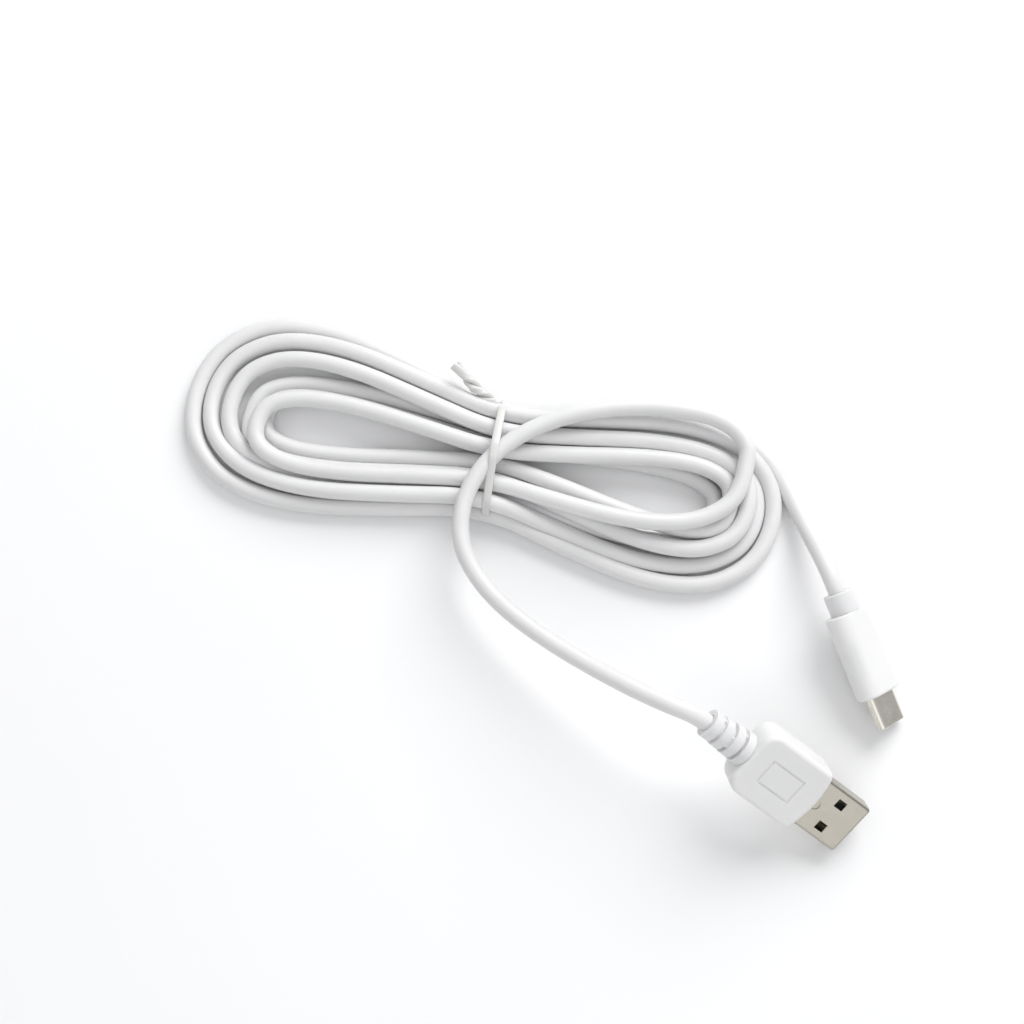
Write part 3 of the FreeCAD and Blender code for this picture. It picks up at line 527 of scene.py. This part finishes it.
def settle(obj, slotName, *replaced):
    # gives a finished piece its finish, its body and the CAD nodes it stands for
    if not obj.data.materials:
        obj.data.materials.append(materials[slotName])
    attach(obj, "cable")
    if replaced:
        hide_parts(*replaced)
    return obj


settle(cord, "cord_jacket", "cord_tail_usb_a", "cord_hank", "cord_tail_usb_c")


def selectOnly(obj):
    bpy.ops.object.select_all(action="DESELECT")
    obj.select_set(True)
    bpy.context.view_layer.objects.active = obj


# moulded and pressed parts with rounded edges: width in mm, segments, edges sharper than this
softEdges = {
    "usb_a_strain_relief": (0.26, 3, 40),
    "usb_a_overmould": (0.16, 3, 40),
    "usb_a_shell": (0.07, 2, 40),
    "usb_c_overmould": (0.12, 3, 40),
    "usb_c_collar": (0.14, 3, 40),
    "usb_c_shell": (0.05, 2, 40),
}
gripBow = {"forward": 1.15, "back": 0.65, "halfWidth": 7.0, "depth": 2.6, "cuts": 12}
cleanUp = {"merge": 0.002, "flat": 0.6, "smooth": 35, "evenWeight": 100}


def cutAcross(plug, halfWidth, count):
    # in edit mode: planes along the plug, so that an edge across it can be bowed
    toPlug = plugMatrix(plug)
    across = (toPlug.to_3x3() @ Vector((0, 1, 0))).normalized()
    for i in range(1, count):
        y = halfWidth * (2 * i / count - 1) * mm
        bpy.ops.mesh.select_all(action="SELECT")
        bpy.ops.mesh.bisect(plane_co=toPlug @ Vector((0, y, 0)), plane_no=across)
    bpy.ops.mesh.select_all(action="SELECT")


def roundedCopy(name, width, segments, sharper):
    obj = bpy.data.objects.new("rounded_" + name, nodes[name].data.copy())
    scene.collection.objects.link(obj)
    selectOnly(obj)
    bpy.ops.object.mode_set(mode="EDIT")
    bpy.ops.mesh.select_all(action="SELECT")
    bpy.ops.mesh.remove_doubles(threshold=cleanUp["merge"] * mm)
    bpy.ops.mesh.dissolve_limited(angle_limit=math.radians(cleanUp["flat"]))
    if name == "usb_a_overmould":
        cutAcross("usbA", gripBow["halfWidth"], gripBow["cuts"])
    bpy.ops.mesh.normals_make_consistent(inside=False)
    bpy.ops.object.mode_set(mode="OBJECT")
    bevel = obj.modifiers.new("edges", "BEVEL")
    bevel.width = width * mm
    bevel.segments = segments
    bevel.limit_method = "ANGLE"
    bevel.angle_limit = math.radians(sharper)
    bevel.miter_outer = "MITER_ARC"
    bpy.ops.object.modifier_apply(modifier=bevel.name)
    bpy.ops.object.shade_smooth_by_angle(angle=math.radians(cleanUp["smooth"]))
    even = obj.modifiers.new("even", "WEIGHTED_NORMAL")
    even.weight = cleanUp["evenWeight"]
    even.keep_sharp = True
    bpy.ops.object.modifier_apply(modifier=even.name)
    return obj


def bowForward(obj):
    # the front of the large grip is slightly bowed towards the plug
    toPlug = plugMatrix("usbA")
    back = toPlug.inverted()
    for v in obj.data.vertices:
        p = back @ v.co / mm
        near = max(0.0, 1 + p.x / gripBow["depth"])
        across = max(0.0, 1 - (p.y / gripBow["halfWidth"]) ** 2)
        p.x += (gripBow["forward"] * across - gripBow["back"]) * near
        v.co = toPlug @ (p * mm)


rounded = {}
for name, edges in softEdges.items():
    piece = roundedCopy(name, *edges)
    rounded[name] = settle(piece, slotOfNode[name], name)
bowForward(rounded["usb_a_overmould"])
print("plug edges rounded,", len(rounded), "pieces")


# twist tie: a plastic strip over a wire, round the hank and twisted on itself at the back

tie = {
    "turn": -9.0,
    "halfWidth": 0.92,
    "halfThickness": 0.40,
    "wire": 0.22,
    "off": 2.27,  # from a strand's middle to the strip's middle
    "sides": 20,
    "fullness": 0.75,  # 1 is an ellipse, lower is squarer
    "loopSteps": 160,
    "strandSteps": 72,
    # strands that the strip lies against: across the hank, and height
    "strands": [(-11.6, 2.8), (10.3, 2.8), (8.8, 6.2), (0.4, 10.2), (-1.9, 10.2), (-9.8, 6.2)],
    "tail": [(-7.5, 38.5, 5.6), (-11.2, 39.6, 6.3), (-13.8, 43.0, 7.2), (-17.9, 47.4, 8.4)],
    "tailSteps": 90,
    "tailHalfWidth": 1.0,
    "tailHalfThickness": 0.66,
    "secondWidth": 0.96,
    "turns": 1.3,
    "apart": 0.66,
    "apartAtEnd": 1.1,
    "opens": 0.8,  # how far along the tail its two ends part
    "opensTurn": 0.35,
    "opensPower": 1.6,
    "wireShows": 0.06,
    "smooth": 50,
}


def sweep(name, rings, closed):
    # rings of points, one after another, joined into a tube that is closed on itself or capped
    sides = len(rings[0])
    points = [p * mm for ring in rings for p in ring]
    faces = []
    last = len(rings) if closed else len(rings) - 1
    for i in range(last):
        a, b = i * sides, (i + 1) % len(rings) * sides
        faces += [(a + j, a + (j + 1) % sides, b + (j + 1) % sides, b + j) for j in range(sides)]
    if not closed:
        faces.append(tuple(reversed(range(sides))))
        faces.append(tuple(range((len(rings) - 1) * sides, len(rings) * sides)))
    mesh = bpy.data.meshes.new(name)
    mesh.from_pydata(points, [], faces)
    obj = bpy.data.objects.new(name, mesh)
    scene.collection.objects.link(obj)
    selectOnly(obj)
    bpy.ops.object.mode_set(mode="EDIT")
    bpy.ops.mesh.select_all(action="SELECT")
    bpy.ops.mesh.normals_make_consistent(inside=False)
    bpy.ops.object.mode_set(mode="OBJECT")
    bpy.ops.object.shade_smooth_by_angle(angle=math.radians(tie["smooth"]))
    return obj


def section(centre, wide, thin, halfWidth, halfThickness):
    # a flat strip with full, rounded edges
    ring = []
    for j in range(tie["sides"]):
        a = 2 * math.pi * j / tie["sides"]
        c, d = math.cos(a), math.sin(a)
        reach = math.copysign(abs(c) ** tie["fullness"], c)
        lift = math.copysign(abs(d) ** tie["fullness"], d)
        ring.append(centre + wide * halfWidth * reach + thin * halfThickness * lift)
    return ring


def hullRound(circles, radius):
    # the line of a strip pulled tight round the strands, in (across, height)
    spots = []
    for cx, cy in circles:
        for j in range(tie["strandSteps"]):
            a = 2 * math.pi * j / tie["strandSteps"]
            spots.append((cx + radius * math.cos(a), cy + radius * math.sin(a)))
    spots.sort()

    def half(ordered):
        chain = []
        for p in ordered:
            while len(chain) > 1:
                (ax, ay), (bx, by) = chain[-2], chain[-1]
                if (bx - ax) * (p[1] - ay) - (by - ay) * (p[0] - ax) > 0:
                    break
                chain.pop()
            chain.append(p)
        return chain[:-1]

    return half(spots) + half(spots[::-1])


def evenly(line, count):
    # the closed line again, in equal steps
    ends = line[1:] + line[:1]
    steps = [math.dist(p, q) for p, q in zip(line, ends)]
    total, out, i, run = sum(steps), [], 0, 0.0
    for k in range(count):
        want = total * k / count
        while run + steps[i] < want:
            run += steps[i]
            i += 1
        t = (want - run) / steps[i]
        out.append(tuple(a + (b - a) * t for a, b in zip(line[i], ends[i])))
    return out


def tiePlace(across, height):
    a = math.radians(tie["turn"])
    x, y = hank["centre"]
    return Vector((x - across * math.sin(a), y + across * math.cos(a), height))


def tieLoop(name, halfWidth, halfThickness):
    tight = evenly(hullRound(tie["strands"], tie["off"]), tie["loopSteps"])
    line = [tiePlace(*p) for p in tight]
    a = math.radians(tie["turn"])
    wide = Vector((math.cos(a), math.sin(a), 0))
    rings = []
    for i, p in enumerate(line):
        ahead = (line[(i + 1) % len(line)] - line[i - 1]).normalized()
        rings.append(section(p, wide, ahead.cross(wide), halfWidth, halfThickness))
    return sweep(name, rings, True)


def tieTwist(name, side, halfWidth, halfThickness, longer=0.0):
    a, b, c, d = (Vector(p) for p in tie["tail"])
    rings, count = [], tie["tailSteps"]
    for i in range(count + 1):
        t = i / count
        u = 1 - t
        p = a * u ** 3 + b * 3 * t * u * u + c * 3 * t * t * u + d * t ** 3
        ahead = ((b - a) * u * u + (c - b) * 2 * t * u + (d - c) * t * t).normalized()
        if i == count:
            p = p + ahead * longer
        level = ahead.cross(Vector((0, 0, 1))).normalized()
        over = level.cross(ahead)
        opening = max(0.0, (t - tie["opens"]) / (1 - tie["opens"]))
        turn = 2 * math.pi * tie["turns"] * min(t / tie["opens"], 1.0)
        turn += tie["opensTurn"] * opening
        out = level * math.cos(turn) + over * math.sin(turn)
        flat = over * math.cos(turn) - level * math.sin(turn)
        parting = opening ** tie["opensPower"]
        apart = tie["apart"] + (tie["apartAtEnd"] - tie["apart"]) * parting
        rings.append(section(p + out * side * apart, flat, out, halfWidth, halfThickness))
    return sweep(name, rings, False)


def joined(name, parts):
    selectOnly(parts[0])
    for part in parts:
        part.select_set(True)
    bpy.ops.object.join()
    parts[0].name = name
    return parts[0]


width, thickness = tie["tailHalfWidth"], tie["tailHalfThickness"]
strip = joined("tie_strip", [
    tieLoop("loop", tie["halfWidth"], tie["halfThickness"]),
    tieTwist("first", 1, width, thickness),
    tieTwist("second", -1, width * tie["secondWidth"], thickness),
])
settle(strip, "tie_plastic", "twist_tie_strip")
radius, shows = tie["wire"], tie["wireShows"]
core = joined("tie_wire", [
    tieLoop("loop", radius, radius),
    tieTwist("first", 1, radius, radius, shows),
    tieTwist("second", -1, radius, radius, shows),
])
settle(core, "tie_steel", "twist_tie_wire")
print("tie wound")

# floor and light

stageSizes = {
    "floor": 4.0,
    "floorBelow": 0.02,
    "distance": 1.2,
    "world": 0.5,
    # how bright the room is low down and high up, and between which heights it changes
    "low": (0.03, 0.03, 0.03),
    "high": (0.98, 0.99, 1.0),
    "lowEnds": 0.02,
    "highStarts": 0.12,
}
lamps = {
    # azimuth, elevation, width, power
    "keyLight": (62.0, 37.0, 0.9, 12.5),
    "topLight": (239.0, 74.0, 1.6, 2.6),
    "frontLight": (-81.0, 38.0, 1.3, 3.1),
}


def makeStage():
    bpy.ops.object.select_all(action="DESELECT")
    below = (0, 0, -stageSizes["floorBelow"] * mm)
    bpy.ops.mesh.primitive_plane_add(size=stageSizes["floor"], location=below)
    floor = bpy.context.active_object
    floor.name = "floor"
    material, shader = newMaterial("floor_white", (0.86, 0.86, 0.865), 0.6)
    clouds = noiseOn(material, objectCoords(material), 6, 3)
    color = mixColors(material, clouds, (0.85, 0.85, 0.855), (0.87, 0.87, 0.875))
    wire(material, shader, Base_Color=color)
    floor.data.materials.append(material)
    for name, (azimuth, elevation, size, power) in lamps.items():
        e, a = math.radians(elevation), math.radians(azimuth)
        aim = Vector((math.cos(e) * math.cos(a), math.cos(e) * math.sin(a), math.sin(e)))
        data = bpy.data.lights.new(name, "AREA")
        data.shape = "DISK"
        data.size = size
        data.energy = power
        light = bpy.data.objects.new(name, data)
        light.location = aim * stageSizes["distance"]
        light.rotation_mode = "QUATERNION"
        light.rotation_quaternion = aim.to_track_quat("Z", "Y")
        scene.collection.objects.link(light)


def makeWorld():
    # a studio that is dim near the floor and bright overhead
    world = bpy.data.worlds.new("studio")
    world.use_nodes = True
    tree = world.node_tree
    coords = tree.nodes.new("ShaderNodeTexCoord")
    parts = tree.nodes.new("ShaderNodeSeparateXYZ")
    ramp = tree.nodes.new("ShaderNodeValToRGB")
    ramp.color_ramp.interpolation = "EASE"
    ramp.color_ramp.elements[0].position = stageSizes["lowEnds"]
    ramp.color_ramp.elements[0].color = (*stageSizes["low"], 1)
    ramp.color_ramp.elements[1].position = stageSizes["highStarts"]
    ramp.color_ramp.elements[1].color = (*stageSizes["high"], 1)
    tree.links.new(coords.outputs["Generated"], parts.inputs["Vector"])
    tree.links.new(parts.outputs["Z"], ramp.inputs["Fac"])
    background = tree.nodes["Background"]
    tree.links.new(ramp.outputs["Color"], background.inputs["Color"])
    background.inputs["Strength"].default_value = stageSizes["world"]
    scene.world = world


makeStage()
makeWorld()
print("stage lit")

print("done")
